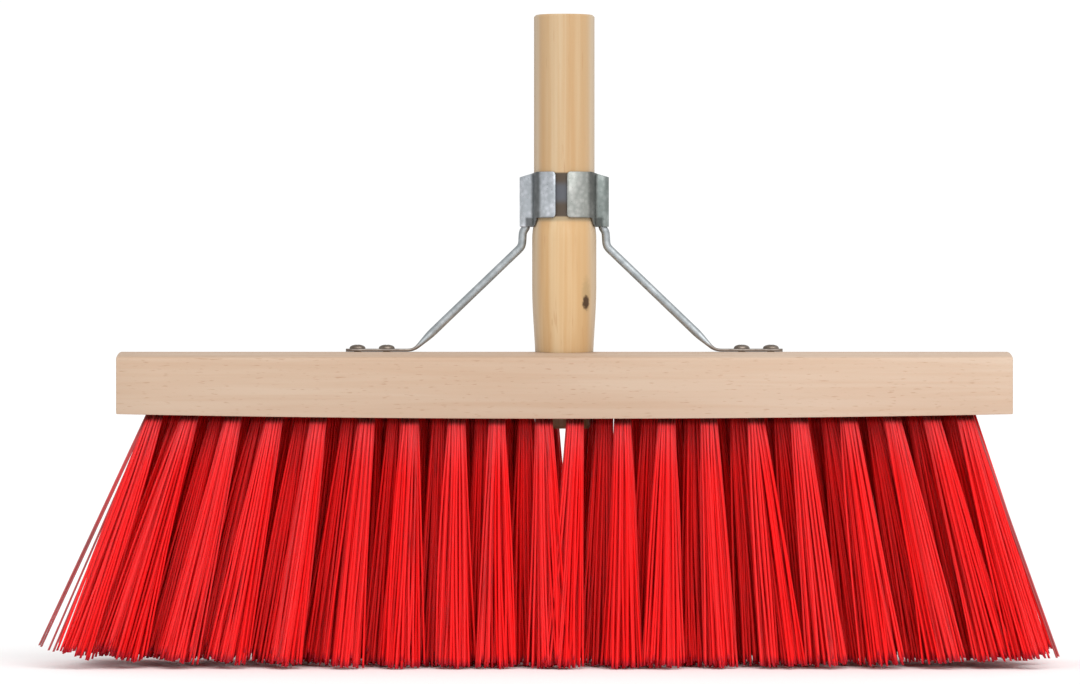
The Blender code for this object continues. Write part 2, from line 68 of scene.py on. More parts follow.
def finishMesh(name, bm, paints, sharpAngle=35, turnOut=True):
    # Faces are turned outwards, smooth, with the real edges kept sharp.
    if turnOut:
        bmesh.ops.recalc_face_normals(bm, faces=bm.faces)
    mesh = bpy.data.meshes.new(name)
    bm.to_mesh(mesh)
    bm.free()
    for paint in paints:
        mesh.materials.append(paint)
    mesh.shade_smooth()
    mesh.set_sharp_from_angle(angle=sharpAngle * degree)
    return addObject(name, mesh)


def carve(piece, cutter, operation="DIFFERENCE"):
    # The cutter's own paint goes onto the faces that it cuts.
    boolean = piece.modifiers.new("carve", "BOOLEAN")
    boolean.operation = operation
    boolean.solver = "EXACT"
    boolean.material_mode = "TRANSFER"
    boolean.object = cutter
    applyModifiers(piece)
    editMesh(piece, weld)
    bpy.data.objects.remove(cutter)


def applyModifiers(piece):
    bpy.context.view_layer.update()
    shown = piece.evaluated_get(bpy.context.evaluated_depsgraph_get())
    shaped = bpy.data.meshes.new_from_object(shown)
    piece.modifiers.clear()
    piece.data = shaped


def editMesh(piece, change):
    bm = bmesh.new()
    bm.from_mesh(piece.data)
    change(bm)
    bm.to_mesh(piece.data)
    bm.free()


def weld(bm):
    # Cuts and bevels can leave points on top of each other, and faces with no area.
    bmesh.ops.remove_doubles(bm, verts=bm.verts, dist=weldDistance)
    bmesh.ops.dissolve_degenerate(bm, dist=weldDistance, edges=bm.edges)


def softenEdges(piece, width, segments, limit):
    bevel = piece.modifiers.new("soft edges", "BEVEL")
    bevel.width = width
    bevel.segments = segments
    bevel.limit_method = "ANGLE"
    bevel.angle_limit = limit * degree
    bevel.harden_normals = False
    applyModifiers(piece)


def turn(profile, sides):
    # A chain of (radius, height) points spun round the Z axis.
    bm = bmesh.new()
    verts = [bm.verts.new((radius, 0, height)) for radius, height in profile]
    edges = [bm.edges.new(pair) for pair in zip(verts, verts[1:])]
    bmesh.ops.spin(bm, geom=verts + edges, axis=(0, 0, 1), cent=(0, 0, 0),
                   angle=2 * math.pi, steps=sides, use_merge=True)
    bmesh.ops.remove_doubles(bm, verts=bm.verts, dist=weldDistance)
    return bm


def addPost(bm, sides, radius, length):
    return bmesh.ops.create_cone(bm, cap_ends=True, segments=sides, radius1=radius,
                                 radius2=radius, depth=length)["verts"]


def move(bm, verts, *step):
    bmesh.ops.translate(bm, verts=verts, vec=step)


def only(kind, items):
    return [item for item in items if isinstance(item, kind)]


def sideOf(along):
    return "left" if along < 0 else "right"


def roundedPath(corners, stepAngle=6):
    # Corners are (x, y, radius); each inner corner becomes an arc.
    path = [Vector(corners[0][:2])]
    for before, here, after in zip(corners, corners[1:], corners[2:]):
        corner = Vector(here[:2])
        back = (Vector(before[:2]) - corner).normalized()
        ahead = (Vector(after[:2]) - corner).normalized()
        bend = math.pi - back.angle(ahead)
        centre = corner + (back + ahead).normalized() * here[2] / math.cos(bend / 2)
        start = corner + back * here[2] * math.tan(bend / 2) - centre
        side = 1 if back.cross(ahead) < 0 else -1
        steps = max(2, round(bend / (stepAngle * degree)))
        for step in range(steps + 1):
            angle = side * bend * step / steps
            path.append(centre + Vector((
                start.x * math.cos(angle) - start.y * math.sin(angle),
                start.x * math.sin(angle) + start.y * math.cos(angle))))
    path.append(Vector(corners[-1][:2]))
    return path


def arcPath(centre, radius, start, end, steps):
    angles = [start + (end - start) * step / steps for step in range(steps + 1)]
    return [Vector((centre[0] + radius * math.cos(angle), centre[1] + radius * math.sin(angle)))
            for angle in angles]


def evenPath(path, step):
    # The same line with its points a fixed step apart.
    lengths = [0]
    for one, two in zip(path, path[1:]):
        lengths.append(lengths[-1] + (two - one).length)
    count = round(lengths[-1] / step)
    even = []
    index = 0
    for place in range(count + 1):
        wanted = lengths[-1] * place / count
        while index < len(path) - 2 and lengths[index + 1] < wanted:
            index += 1
        span = lengths[index + 1] - lengths[index]
        share = (wanted - lengths[index]) / span if span else 0
        even.append(path[index].lerp(path[index + 1], share))
    return even


def smoothPath(path, rounds):
    for repeat in range(rounds):
        inner = [(one + two * 2 + three) / 4 for one, two, three in zip(path, path[1:], path[2:])]
        path = [path[0]] + inner + [path[-1]]
    return path


def easeBetween(value, low, high):
    share = min(max((value - low) / (high - low), 0), 1)
    return share * share * (3 - 2 * share)


def dress(piece, slot, *nodes):
    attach(piece, "root")
    if nodes:
        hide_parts(*nodes)


# Material helpers

def tone(red, green, blue):
    # A colour as a screen shows it, made linear.
    def linear(value):
        value /= 255
        return value / 12.92 if value <= 0.04045 else ((value + 0.055) / 1.055) ** 2.4
    return (linear(red), linear(green), linear(blue), 1)


def plug(tree, socket, value):
    if isinstance(value, bpy.types.NodeSocket):
        tree.links.new(value, socket)
    else:
        socket.default_value = value


def addNode(tree, kind, settings=None, **inputs):
    made = tree.nodes.new("ShaderNode" + kind)
    for name, value in (settings or {}).items():
        setattr(made, name, value)
    for name, value in inputs.items():
        plug(tree, made.inputs[name.replace("_", " ")], value)
    return made


def blend(tree, factor, first, second, mode="MIX"):
    mix = addNode(tree, "Mix", {"data_type": "RGBA", "blend_type": mode})
    for socket, value in zip((mix.inputs[0], mix.inputs[6], mix.inputs[7]), (factor, first, second)):
        plug(tree, socket, value)
    return mix.outputs[2]


def sumUp(tree, operation, first, second, kind="Math"):
    made = addNode(tree, kind, {"operation": operation})
    plug(tree, made.inputs[0], first)
    plug(tree, made.inputs[1], second)
    return made.outputs[0]


def times(tree, first, second):
    return sumUp(tree, "MULTIPLY", first, second)


def gapTo(tree, value, middle):
    return sumUp(tree, "ABSOLUTE", sumUp(tree, "SUBTRACT", value, middle), 0)


def spread(tree, value, low, high, newLow=0.0, newHigh=1.0):
    # Eases from one value at low to another at high.
    made = addNode(tree, "MapRange", {"interpolation_type": "SMOOTHSTEP"}, Value=value)
    for name, number in zip(("From Min", "From Max", "To Min", "To Max"), (low, high, newLow, newHigh)):
        made.inputs[name].default_value = number
    return made.outputs[0]


def objectPlace(tree, scale=(1, 1, 1), centre=(0, 0, 0)):
    # Object coordinates in metres, centred and then stretched.
    place = addNode(tree, "TexCoord").outputs["Object"]
    moved = sumUp(tree, "SUBTRACT", place, centre, "VectorMath")
    return sumUp(tree, "MULTIPLY", moved, scale, "VectorMath")


def lengthOf(tree, place):
    made = addNode(tree, "VectorMath", {"operation": "LENGTH"})
    plug(tree, made.inputs[0], place)
    return made.outputs["Value"]


def objectAxes(tree):
    return addNode(tree, "SeparateXYZ", Vector=objectPlace(tree)).outputs


def noise(tree, scale, detail=3, roughness=0.5, distortion=0, place=None):
    # The scale is one number, or one along each axis.
    if isinstance(scale, tuple):
        place = objectPlace(tree, scale)
        scale = 1
    elif place is None:
        place = objectPlace(tree)
    made = addNode(tree, "TexNoise", Vector=place, Scale=scale, Detail=detail,
                   Roughness=roughness, Distortion=distortion)
    return made.outputs[0]


def startMaterial(name, **shading):
    material = bpy.data.materials.new(name)
    material.use_nodes = True
    tree = material.node_tree
    shader = tree.nodes["Principled BSDF"]
    for key, value in shading.items():
        shader.inputs[key.replace("_", " ")].default_value = value
    return material, tree, shader


def addBump(tree, shader, height, distance, strength=1.0):
    bump = addNode(tree, "Bump", Height=height, Distance=distance, Strength=strength)
    tree.links.new(bump.outputs[0], shader.inputs["Normal"])


# Wood

grain = {  # what the long sides of both woods share
    "clouds": (0.3, 0.7),
    "streaks": (0.32, 0.7),
    "cloudShare": 0.55,
    "streakShare": 0.45,
    "wave": 0.3,
    "fleckShare": 0.5,
    "relief": 0.5,
}

endGrain = {
    "wobbleSize": 60,
    "wobble": 2.5 * mm,
    "lateWood": (0.35, 1),
    "poreSize": 1900,
    "pores": (0.5, 0.68),
    "poreShare": 0.45,
    "roughness": 0.78,
    "bump": -0.08 * mm,
}

beech = {
    "pale": tone(201, 179, 159),
    "warm": tone(192, 163, 139),
    "fleck": tone(165, 128, 98),
    "leftTint": tone(242, 240, 237),
    "leftSpread": (0.15, -0.03),
    "endPale": tone(196, 164, 132),
    "endDark": tone(158, 120, 88),
    "streak": (9, 420, 300),  # grain repeats to the metre, along X, Y and Z
    "cloud": (5, 60, 42),
    "fleckSize": (190, 1500, 1300),
    "fleckLimit": (0.62, 0.75),
    "ringWidth": 2.6 * mm,
    "pith": (0, 0.012, 0.03),  # the rings on the ends run round this line
    "roughness": (0.52, 0.64),
    "bump": 0.05 * mm,
}

pine = {
    "pale": tone(207, 180, 141),
    "warm": tone(192, 153, 105),
    "fleck": tone(176, 132, 88),
    "upperTint": tone(242, 243, 248),  # above the clamp
    "lateSize": (150, 120, 2.5),  # late wood: a few long darker lines down the stick
    "lateWave": 0.6,
    "lateSpread": (0.52, 0.64, 0, 0.55),
    # painted shade towards the handle's left and right sides
    "sideShade": tone(182, 174, 160),
    "sideShadeSpread": (9.5 * mm, 13.5 * mm, 0, 0.4),
    "underShadow": tone(124, 120, 100),  # painted shadow in the corner under the clamp
    "underShadowShare": 0.55,
    "underShadowLow": (2.4 * mm, 0.6 * mm),
    "underShadowHigh": (1.5 * mm, 0.5 * mm),
    "footShade": tone(104, 62, 40),  # painted shade on the end that shows below the head
    "footShadeShare": 0.7,
    "footBlur": 1 * mm,
    "endPale": tone(212, 178, 130),
    "endDark": tone(160, 112, 66),
    "streak": (420, 300, 7),
    "cloud": (95, 80, 4),
    "fleckSize": (900, 900, 60),
    "fleckLimit": (0.66, 0.8),
    "ringWidth": 2.2 * mm,
    "pith": (0.019, 0.022, 0),
    "roughness": (0.42, 0.55),
    "bump": 0.04 * mm,
}

knot = {
    "core": tone(72, 48, 22),
    "corePlace": (9.9 * mm, -10.6 * mm, 167.3 * mm),
    "coreSize": (2.0 * mm, 3.0 * mm, 3.7 * mm),
    "coreSpread": (1.45, 0.9),
    "halo": tone(166, 140, 98),
    "haloPlace": (10.0 * mm, -10.6 * mm, 170.5 * mm),
    "haloSize": (2.3 * mm, 3.0 * mm, 7.5 * mm),
    "haloSpread": (1.7, 0.8, 0, 0.65),
    "raggedSize": 700,
    "ragged": 0.6,
}

slotShade = {  # painted shade where the clamp's slot shows the handle, greyer in the middle
    "middle": -1.5 * mm,
    "halfWidth": 3.6 * mm,
    "sideBlur": 0.8 * mm,
    "front": (-8 * mm, -10 * mm),
    "endBlur": 1 * mm,
    "dark": tone(74, 62, 50),
    "slotGrey": tone(82, 84, 90),
    "slotGreyMiddle": 217.7 * mm,
    "slotGreyHalf": 4.2 * mm,
    "slotGreyBlur": 2 * mm,
}

holeWoodShade = {  # the wood inside the holes, painted dark as shade
    "dark": tone(70, 40, 28),
    "pale": tone(120, 78, 52),
    "grainSize": 700,
    "bump": 0.1 * mm,
}


def woodGrain(tree, wood):
    clouds = noise(tree, wood["cloud"], detail=2)
    clouds = spread(tree, clouds, *grain["clouds"])
    streaks = noise(tree, wood["streak"], detail=4, distortion=grain["wave"])
    streaks = spread(tree, streaks, *grain["streaks"])
    amount = sumUp(tree, "ADD", times(tree, clouds, grain["cloudShare"]),
                   times(tree, streaks, grain["streakShare"]))
    colour = blend(tree, amount, wood["pale"], wood["warm"])
    flecks = noise(tree, wood["fleckSize"], detail=1)
    marks = spread(tree, flecks, *wood["fleckLimit"])
    colour = blend(tree, times(tree, marks, grain["fleckShare"]), colour, wood["fleck"])
    return colour, streaks, marks


def finishWood(tree, shader, wood, colour, streaks, marks):
    tree.links.new(colour, shader.inputs["Base Color"])
    tree.links.new(spread(tree, streaks, 0, 1, *wood["roughness"]), shader.inputs["Roughness"])
    relief = sumUp(tree, "SUBTRACT", streaks, marks)
    addBump(tree, shader, relief, wood["bump"], grain["relief"])


def beechSide():
    material, tree, shader = startMaterial("beech side", Specular_IOR_Level=0.35)
    colour, streaks, marks = woodGrain(tree, beech)
    # The wood is a little darker from the middle to the left end.
    leftward = spread(tree, objectAxes(tree)["X"], *beech["leftSpread"])
    colour = blend(tree, leftward, colour, beech["leftTint"], "MULTIPLY")
    finishWood(tree, shader, beech, colour, streaks, marks)
    return material


def woodEnd(name, wood, along):
    # Growth rings round the pith, with fine pores.
    material, tree, shader = startMaterial(name, Roughness=endGrain["roughness"],
                                           Specular_IOR_Level=0.25)
    flat = [0 if axis == along else 1 for axis in range(3)]
    place = objectPlace(tree, flat, wood["pith"])
    wobble = times(tree, noise(tree, endGrain["wobbleSize"], place=place), endGrain["wobble"])
    reach = sumUp(tree, "ADD", lengthOf(tree, place), wobble)
    rings = sumUp(tree, "DIVIDE", reach, wood["ringWidth"])
    tooth = sumUp(tree, "FRACT", rings, 0)
    pores = noise(tree, endGrain["poreSize"], detail=1)
    pores = spread(tree, pores, *endGrain["pores"])
    colour = blend(tree, spread(tree, tooth, *endGrain["lateWood"]), wood["endPale"], wood["endDark"])
    colour = blend(tree, times(tree, pores, endGrain["poreShare"]), colour, wood["endDark"])
    tree.links.new(colour, shader.inputs["Base Color"])
    addBump(tree, shader, pores, endGrain["bump"])
    return material


def tuftHole():
    material, tree, shader = startMaterial("tuft hole", Roughness=0.85, Specular_IOR_Level=0.15)
    rough = noise(tree, holeWoodShade["grainSize"])
    # The holes' wood is painted dark as shade.
    tree.links.new(blend(tree, rough, holeWoodShade["dark"], holeWoodShade["pale"]), shader.inputs["Base Color"])
    addBump(tree, shader, rough, holeWoodShade["bump"])
    return material


def pineSide():
    material, tree, shader = startMaterial("pine side", Specular_IOR_Level=0.4)
    colour, streaks, marks = woodGrain(tree, pine)
    lines = noise(tree, pine["lateSize"], detail=1, distortion=pine["lateWave"])
    colour = blend(tree, spread(tree, lines, *pine["lateSpread"]), colour, pine["warm"])
    axes = objectAxes(tree)
    upper = spread(tree, axes["Z"], clampFoot, clampTop)
    colour = blend(tree, upper, colour, pine["upperTint"], "MULTIPLY")
    # Painted shade towards the left and right sides.
    sideShading = spread(tree, gapTo(tree, axes["X"], 0), *pine["sideShadeSpread"])
    colour = blend(tree, sideShading, colour, pine["sideShade"])
    # Painted shadow just under the clamp's band.
    low, high = [clampFoot - below for below in pine["underShadowLow"]]
    corner = spread(tree, axes["Z"], low, high, 0, pine["underShadowShare"])
    high, low = [clampFoot + above for above in pine["underShadowHigh"]]
    inside = spread(tree, axes["Z"], high, low)
    colour = blend(tree, times(tree, corner, inside), colour, pine["underShadow"])
    # Painted shade on the end below the head.
    blur = pine["footBlur"]
    below = spread(tree, axes["Z"], headLow.z + blur, headLow.z - blur, 0, pine["footShadeShare"])
    colour = blend(tree, below, colour, pine["footShade"])
    colour = addKnot(tree, colour)
    colour = paintSlotShade(tree, colour)
    finishWood(tree, shader, pine, colour, streaks, marks)
    return material


def addKnot(tree, colour):
    ragged = noise(tree, knot["raggedSize"], detail=2)
    ragged = times(tree, ragged, knot["ragged"])
    for part in ("halo", "core"):
        far = sumUp(tree, "ADD", farFrom(tree, knot[part + "Place"], knot[part + "Size"]), ragged)
        colour = blend(tree, spread(tree, far, *knot[part + "Spread"]), colour, knot[part])
    return colour


def farFrom(tree, place, size):
    # Distance from a place, where 1 is on the ellipsoid of this size.
    return lengthOf(tree, objectPlace(tree, [1 / length for length in size], place))


def paintSlotShade(tree, colour):
    # Painted shade on the wood under the clamp's front slot, greyer in the middle.
    axes = objectAxes(tree)
    aside = spread(tree, gapTo(tree, axes["X"], slotShade["middle"]),
                   slotShade["halfWidth"], slotShade["halfWidth"] - slotShade["sideBlur"])
    front = spread(tree, axes["Y"], *slotShade["front"])
    half = clamp["band"] / 2
    inside = spread(tree, gapTo(tree, axes["Z"], clampTop - half), half, half - slotShade["endBlur"])
    amount = times(tree, times(tree, aside, front), inside)
    half = slotShade["slotGreyHalf"]
    blur = slotShade["slotGreyBlur"]
    slotGrey = spread(tree, gapTo(tree, axes["Z"], slotShade["slotGreyMiddle"]), half + blur, half - blur)
    return blend(tree, amount, colour, blend(tree, slotGrey, slotShade["dark"], slotShade["slotGrey"]))


# Head

head = {
    "crown": 2.4 * mm,
    "crownCuts": 17,
    "belly": 2.1 * mm,  # how much lower the underside's middle hangs
    "bellyCuts": 23,
    "longEdge": 1.5 * mm,
    "endEdge": 0.5 * mm,
    "holeRadius": 4.3 * mm,
    "holeDepth": 3.5 * mm,
    "holeSides": 18,
    "socketGap": 0.35 * mm,
    "overrun": 1 * mm,
}


def undersideAt(along):
    # The underside is a shallow arc from end to end, lowest in the middle.
    return headLow.z + head["belly"] * (along / headHigh.x) ** 2


def buildHead(side, end, hole):
    bm = bmesh.new()
    bmesh.ops.create_cube(bm, size=1)
    bmesh.ops.scale(bm, verts=bm.verts, vec=headHigh - headLow)
    move(bm, bm.verts, *(headLow + headHigh) / 2)
    for axis, cuts in ((0, head["bellyCuts"]), (1, head["crownCuts"])):
        across = [edge for edge in bm.edges
                  if abs(edge.verts[0].co[axis] - edge.verts[1].co[axis]) > head["longEdge"]]
        bmesh.ops.subdivide_edges(bm, edges=across, cuts=cuts, use_grid_fill=True)
    waist = (headLow.z + headHigh.z) / 2
    for vert in bm.verts:
        if vert.co.z > waist:
            vert.co.z -= head["crown"] * (vert.co.y / headHigh.y) ** 2
        else:
            vert.co.z = undersideAt(vert.co.x)
    longEdges = [edge for edge in bm.edges
                 if edge.calc_face_angle(0) > 45 * degree
                 and abs(edge.verts[0].co.x - edge.verts[1].co.x) > head["longEdge"]
                 and edge.verts[0].co.z > waist]
    bmesh.ops.bevel(bm, geom=longEdges, offset=head["longEdge"], affect="EDGES",
                    segments=4, profile=0.5, material=-1)
    restEdges = [edge for edge in bm.edges if edge.calc_face_angle(0) > 60 * degree]
    bmesh.ops.bevel(bm, geom=restEdges, offset=head["endEdge"], affect="EDGES",
                    segments=2, profile=0.5, material=-1)
    bmesh.ops.recalc_face_normals(bm, faces=bm.faces)
    for face in bm.faces:
        face.material_index = 1 if abs(face.normal.x) > facing else 0
    piece = finishMesh("head", bm, [side, end], sharpAngle=30)
    carve(piece, holeCutter(hole))
    carve(piece, socketCutter(hole))
    dress(piece, "beech", "block")
    print("head with", len(tuftPlaces()), "tuft holes")


def holeCutter(hole):
    bm = bmesh.new()
    for along, depth in tuftPlaces():
        post = addPost(bm, head["holeSides"], head["holeRadius"], head["holeDepth"] + head["overrun"])
        middle = undersideAt(along) + (head["holeDepth"] - head["overrun"]) / 2
        move(bm, post, along, depth, middle)
    return finishMesh("hole cutter", bm, [hole])


def socketCutter(hole):
    # The handle comes right through the head.
    low = headLow.z - head["overrun"]
    top = headTop + head["overrun"]
    wall = [(stickRadius(height) + head["socketGap"], height) for height in (low, top)]
    return finishMesh("socket cutter", turn([(0, low)] + wall + [(0, top)], stick["sides"]), [hole])


# Handle

stick = {
    "radius": 14 * mm,
    "swell": 14.85 * mm,
    "seat": 13.2 * mm,
    "end": 12 * mm,
    "swellTop": 9 * mm,  # below the clamp
    "swellBottom": 31 * mm,
    "neck": 10 * mm,  # below the head's top
    "justOver": 0.01 * mm,
    "chamfer": 0.9 * mm,
    "sides": 72,
    "rings": 90,
}


def stickRadius(height):
    if height > clampFoot - stick["swellTop"]:
        share = easeBetween(height, clampFoot - stick["swellTop"], clampFoot)
        return stick["swell"] + (stick["radius"] - stick["swell"]) * share
    share = easeBetween(height, headTop - stick["neck"], clampFoot - stick["swellBottom"])
    if height > headTop:
        return stick["seat"] + (stick["swell"] - stick["seat"]) * share
    seated = (height - handleLow.z) / (headTop - handleLow.z)
    atTop = stickRadius(headTop + stick["justOver"])
    return stick["end"] + (atTop - stick["end"]) * seated


def buildHandle(side, end):
    low = handleLow.z + stick["chamfer"]
    high = handleHigh.z - stick["chamfer"]
    heights = [low + (high - low) * ring / stick["rings"] for ring in range(stick["rings"] + 1)]
    profile = [(0, handleLow.z), (stick["end"] - stick["chamfer"], handleLow.z)]
    profile += [(stickRadius(height), height) for height in heights]
    profile += [(stick["radius"] - stick["chamfer"], handleHigh.z), (0, handleHigh.z)]
    bm = turn(profile, stick["sides"])
    bmesh.ops.recalc_face_normals(bm, faces=bm.faces)
    for face in bm.faces:
        face.material_index = 1 if abs(face.normal.z) > facing else 0
    piece = finishMesh("handle_stub", bm, [side, end], sharpAngle=30)
    dress(piece, "pine", "handle")
    print("handle stub")


# Zinc

zinc = {
    "bright": tone(213, 217, 224),
    "dull": tone(177, 183, 188),
    # specks of grime, and the painted shade in the clamp's valleys
    "grimeAndShade": tone(56, 58, 55),
    "spangleSize": 420,
    "spangleShare": 0.35,
    "cloudSize": 160,
    "cloudRoughness": 0.6,
    "clouds": (0.3, 0.7),
    "mix": (0.4, 0.85),
    "speckSize": 1500,
    "specks": (0.66, 0.74, 0, 0.5),
    "roughness": (0.3, 0.5),
    "bump": 0.06 * mm,
    "relief": 0.6,
}

rodZinc = dict(zinc, bright=tone(180, 185, 188), dull=tone(158, 164, 167),
               roughness=(0.5, 0.62), bump=0.02 * mm)
footZinc = dict(rodZinc, bright=tone(156, 147, 138), dull=tone(136, 126, 119))
screwZinc = dict(zinc, bright=tone(148, 136, 126), dull=tone(115, 104, 94))


def zincSurface(name, tones, shadeMask=None, footTones=None):
    material, tree, shader = startMaterial(name, Metallic=0.95)
    axes = objectAxes(tree)
    spangle = addNode(tree, "TexVoronoi", Vector=objectPlace(tree), Scale=tones["spangleSize"])
    clouds = noise(tree, tones["cloudSize"], 4, tones["cloudRoughness"])
    mixed = sumUp(tree, "ADD", times(tree, spangle.outputs["Distance"], tones["spangleShare"]), clouds)
    mixed = spread(tree, mixed, *tones["mix"])
    colour = blend(tree, mixed, tones["bright"], tones["dull"])
    if footTones:
        # The stays' feet are browner than the rods.
        high, low = [headTop + above for above in stay["brown"]]
        foot = blend(tree, mixed, footTones["bright"], footTones["dull"])
        colour = blend(tree, spread(tree, axes["Z"], high, low), colour, foot)
    specks = noise(tree, tones["speckSize"], detail=2)
    colour = blend(tree, spread(tree, specks, *tones["specks"]), colour, tones["grimeAndShade"])
    if shadeMask:
        # Painted shade: the right half is coloured darker, most of all round the stay.
        for part in ("right", "rightBead"):
            shadedRight = spread(tree, axes["X"], *clamp[part + "Spread"])
            colour = blend(tree, shadedRight, colour, clamp[part + "Tint"], "MULTIPLY")
        # Painted shade in the clamp's valleys and under its ears.
        colour = blend(tree, shadeMask(tree), colour, tones["grimeAndShade"])
    tree.links.new(colour, shader.inputs["Base Color"])
    rough = spread(tree, clouds, *tones["clouds"], *tones["roughness"])
    tree.links.new(rough, shader.inputs["Roughness"])
    addBump(tree, shader, clouds, tones["bump"], tones["relief"])
    return material


def clampValleyShade(tree):
    # Painted shade in the two valleys beside the stays, and in the open ends under them.
    axes = objectAxes(tree)
    beside = gapTo(tree, axes["X"], 0)
    half = clamp["valleyHalf"]
    blur = clamp["valleyBlur"]
    dark = spread(tree, gapTo(tree, beside, clamp["valley"]), half + blur, half - blur)
    under = spread(tree, axes["Z"], clampFoot + clamp["underTop"], clampFoot - clamp["underLow"])
    under = times(tree, under, spread(tree, beside, *clamp["underSpread"]))
    front = spread(tree, axes["Y"], *clamp["shadeFront"])
    right = spread(tree, axes["X"], *clamp["rightSpread"], 1, clamp["rightValleyShade"])
    return times(tree, sumUp(tree, "MAXIMUM", dark, under), times(tree, front, right))


# Clamp

clamp = {
    "sheet": 1 * mm,
    "gap": 0.3 * mm,
    "rodGap": 1.3 * mm,
    "rod": 3.8 * mm,
    "mouths": {"left": 4 * mm, "right": 1.2 * mm},
    "skirtShare": 0.265,
    "beadShare": 0.98,
    "arcSteps": 30,
    "flangeGap": 4 * mm,
    "flangeReach": 14 * mm,
    "flangeCorner": 2 * mm,
    "flangeSteps": 12,
    "corner": 1.6 * mm,
    "columnStep": 0.55 * mm,
    "beadStart": 12.3 * mm,  # the ears hang lower from here out
    "beadEnd": 13.8 * mm,
    "topStart": 12.5 * mm,  # and their tops slope from here out
    "topEnd": 20 * mm,
    "topDrop": 2.2 * mm,
    "footDrop": 4 * mm,
    "band": 21.2 * mm,
    "edge": 0.22 * mm,
    "sharp": 50,
    "boltHole": 3.3 * mm,
    "holeSides": 32,
    # painted shade on the right half, and more round the right stay
    "rightTint": tone(229, 226, 214),
    "rightSpread": (-1 * mm, 1 * mm),
    "rightBeadTint": tone(211, 219, 221),
    "rightBeadSpread": (13 * mm, 16 * mm),
    "rightValleyShade": 0.87,
    # where the painted shade lies in the valleys and under the ears
    "valley": 13.1 * mm,
    "valleyHalf": 1.9 * mm,
    "valleyBlur": 1 * mm,
    "underTop": 1 * mm,
    "underLow": 0.5 * mm,
    "underSpread": (18.6 * mm, 17.2 * mm),
    "shadeFront": (2 * mm, -1 * mm, 0, 0.8),
}

clampFoot = clampTop - clamp["band"]
sheetRadius = stick["radius"] + clamp["gap"] + clamp["sheet"] / 2
rodAxis = stick["radius"] + clamp["gap"] + clamp["rodGap"] + clamp["rod"] / 2
boltLow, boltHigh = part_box("clamp_bolt")
boltMiddle = (boltLow + boltHigh) / 2


def clampPath(mouth):
    # Plan of the left half: front edge, round to the bead, round to the flange.
    steps = clamp["arcSteps"]
    front = math.pi + math.acos(mouth / sheetRadius)
    skirt = math.asin(clamp["skirtShare"])
    beadTurn = math.asin(clamp["beadShare"])
    beadRadius = (clamp["rod"] + clamp["sheet"]) / 2 + clamp["gap"]
    flange = (clamp["flangeGap"] + clamp["sheet"]) / 2
    bend = clamp["flangeCorner"]
    bendY = math.sqrt((sheetRadius + bend) ** 2 - (flange + bend) ** 2)
    rear = math.atan2(bendY, -flange - bend)
    path = arcPath((0, 0), sheetRadius, front, math.pi + skirt, steps)
    path += arcPath((-rodAxis, 0), beadRadius, math.pi + beadTurn, math.pi - beadTurn, steps)
    path += arcPath((0, 0), sheetRadius, math.pi - skirt, rear, steps)
    path += arcPath((-flange - bend, bendY), bend, rear - math.pi, 0, clamp["flangeSteps"])[1:]
    path.append(Vector((-flange, sheetRadius + clamp["flangeReach"])))
    return smoothPath(evenPath(path, clamp["columnStep"]), 2)


def cornerDrop(distance):
    # How far a rounded corner lowers the edge this far from the sheet's end.
    if distance >= clamp["corner"]:
        return 0
    return clamp["corner"] - math.sqrt(clamp["corner"] ** 2 - (clamp["corner"] - distance) ** 2)


def buildClampHalf(side, paint):
    name = "clamp_half_" + sideOf(side)
    path = clampPath(clamp["mouths"][sideOf(side)])
    bm = bmesh.new()
    low = [bm.verts.new((-side * point.x, point.y, 0)) for point in path]
    edges = [bm.edges.new(pair) for pair in zip(low, low[1:])]
    bmesh.ops.extrude_edge_only(bm, edges=edges)
    bm.verts.ensure_lookup_table()
    for column, (one, two) in enumerate(zip(bm.verts[:len(path)], bm.verts[len(path):])):
        drop = cornerDrop(min(column, len(path) - 1 - column) * clamp["columnStep"])
        beside = abs(path[column].x)
        ear = easeBetween(beside, clamp["beadStart"], clamp["beadEnd"])
        one.co.z = clampFoot + drop - ear * clamp["footDrop"]
        slope = (beside - clamp["topStart"]) / (clamp["topEnd"] - clamp["topStart"])
        two.co.z = clampTop - drop - min(max(slope, 0), 1) * clamp["topDrop"]
    bmesh.ops.recalc_face_normals(bm, faces=bm.faces)
    piece = finishMesh(name + "_sheet", bm, [paint], sharpAngle=60, turnOut=False)
    wall = piece.modifiers.new("sheet", "SOLIDIFY")
    wall.thickness = clamp["sheet"]
    wall.offset = 0
    wall.use_even_offset = True
    softenEdges(piece, clamp["edge"], 2, clamp["sharp"])
    carve(piece, flangeHoleCutter(paint))
    piece.data.set_sharp_from_angle(angle=clamp["sharp"] * degree)
    dress(piece, "zinc", name)


def flangeHoleCutter(paint):
    bm = bmesh.new()
    addPost(bm, clamp["holeSides"], clamp["boltHole"], 2 * clamp["flangeReach"])
    layOnBolt(bm)
    return finishMesh("flange hole cutter", bm, [paint])


# Bolt and nut

bolt = {
    "flats": 10 * mm,
    "turnedShare": 0.95,  # the end faces are turned to this share of the flats
    "headHeight": 4 * mm,
    "radius": 3 * mm,
    "pitch": 1 * mm,
    "threadDepth": 0.5 * mm,
    "crest": (0.4, 0.6),  # of each turn of the thread
    "plainShank": 4 * mm,
    "chamfer": 0.8 * mm,
    "nutHeight": 5 * mm,
    "boreGap": 0.15 * mm,
    "sink": 1 * mm,
    "sinkDepth": 0.7 * mm,
    "overrun": 1 * mm,
    "sides": 36,
    "latheSides": 48,
    "latheOver": 1.05,
    "headEdge": 0.08 * mm,
    "nutEdge": 0.12 * mm,
    "sharp": 40,
    "grip": (4 / 2 + 1.2 + 0.3) * mm,  # from the middle to a nut face
}


def layOnBolt(bm):
    # From round the Z axis to round the bolt's.
    for vert in bm.verts:
        vert.co = (vert.co.z, vert.co.y, -vert.co.x)
    move(bm, bm.verts, 0, boltMiddle.y, boltMiddle.z)


